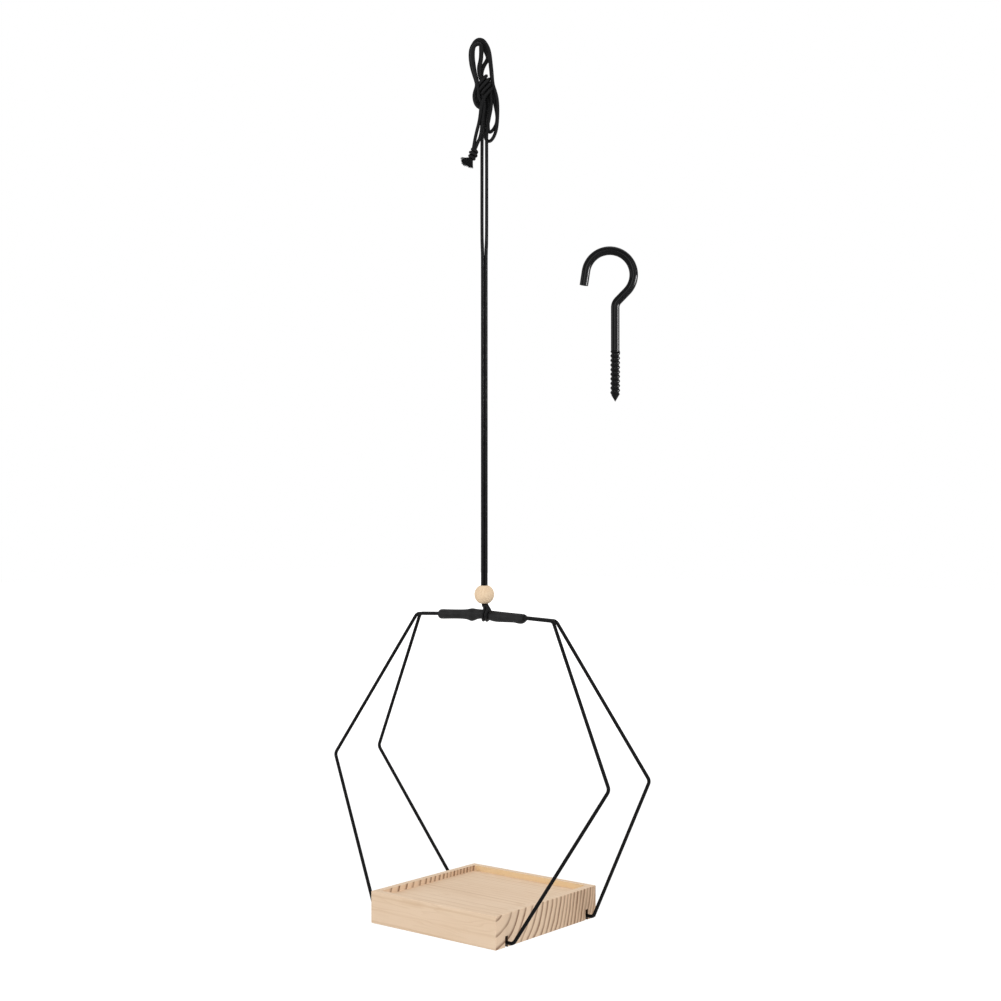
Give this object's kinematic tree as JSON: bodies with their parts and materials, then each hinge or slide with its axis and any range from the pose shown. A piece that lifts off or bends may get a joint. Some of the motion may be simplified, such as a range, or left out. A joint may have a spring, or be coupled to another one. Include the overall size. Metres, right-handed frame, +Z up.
{
  "type": "hanging plant shelf",
  "caption": "Square wooden plant tray carried by bent-wire hexagon hoops that hang from a doubled cord with a wooden bead and a loop knot, with a loose screw hook for the ceiling.",
  "frame": {"origin": "where a hook bears under the hanging loop of the knot", "axes": "+X along the hoops' top and bottom bars to the right, +Y to the rear, +Z up"},
  "size_m": [0.3536, 0.1784, 0.882],
  "materials": {
    "black_cord": "matte braided cord",
    "black_wire": "satin powder coat",
    "black_sleeve": "satin shrunk tube",
    "pine_board": "sanded, uncoated",
    "bead_wood": "sanded, uncoated",
    "hook_steel": "gloss black lacquer"
  },
  "bodies": {
    "hanger": {"outer_loop": "black_cord", "middle_loop": "black_cord", "inner_loop": "black_cord", "bow_inner": "black_cord", "neck_left": "black_cord", "neck_right": "black_cord", "knot_wraps": "black_cord", "tail_left": "black_cord", "tail_right": "black_cord", "stop_knot": "black_cord", "frayed_end_left": "black_cord", "frayed_end_right": "black_cord", "screw_hook": "hook_steel"},
    "upper_cord": {"upper_strand_left": "black_cord", "upper_strand_right": "black_cord"},
    "lower_cord": {"lower_strand_left": "black_cord", "lower_strand_right": "black_cord"},
    "bead": {"wooden_bead": "bead_wood"},
    "hitch": {"cord_hitch": "black_cord"},
    "frame": {"front_hoop": "black_wire", "rear_hoop": "black_wire", "bar_sleeve": "black_sleeve"},
    "tray": {"wooden_tray": "pine_board"}
  },
  "joints": [
    {"name": "cord_swing", "type": "hinge", "parent": "hanger", "child": "upper_cord", "pos_m": [0, 0, -0.098], "axis": [1, 0, 0], "range_deg": [-15, 15]},
    {"name": "cord_sway", "type": "hinge", "parent": "upper_cord", "child": "lower_cord", "pos_m": [0, 0, -0.198], "axis": [0, 1, 0], "range_deg": [-15, 15]},
    {"name": "bead_slide", "type": "slide", "parent": "lower_cord", "child": "bead", "axis": [0, 0, 1], "range_m": [0, 0.335]},
    {"name": "shelf_turn", "type": "hinge", "parent": "lower_cord", "child": "hitch", "pos_m": [0, 0, -0.54772], "axis": [0, 0, 1], "range_deg": [-180, 180]},
    {"name": "frame_tip", "type": "hinge", "parent": "hitch", "child": "frame", "pos_m": [0, 0, -0.567], "axis": [1, 0, 0], "range_deg": [-20, 20]},
    {"name": "tray_lift", "type": "slide", "parent": "frame", "child": "tray", "axis": [0, 0, 1], "range_m": [0, 0.06]}
  ]
}
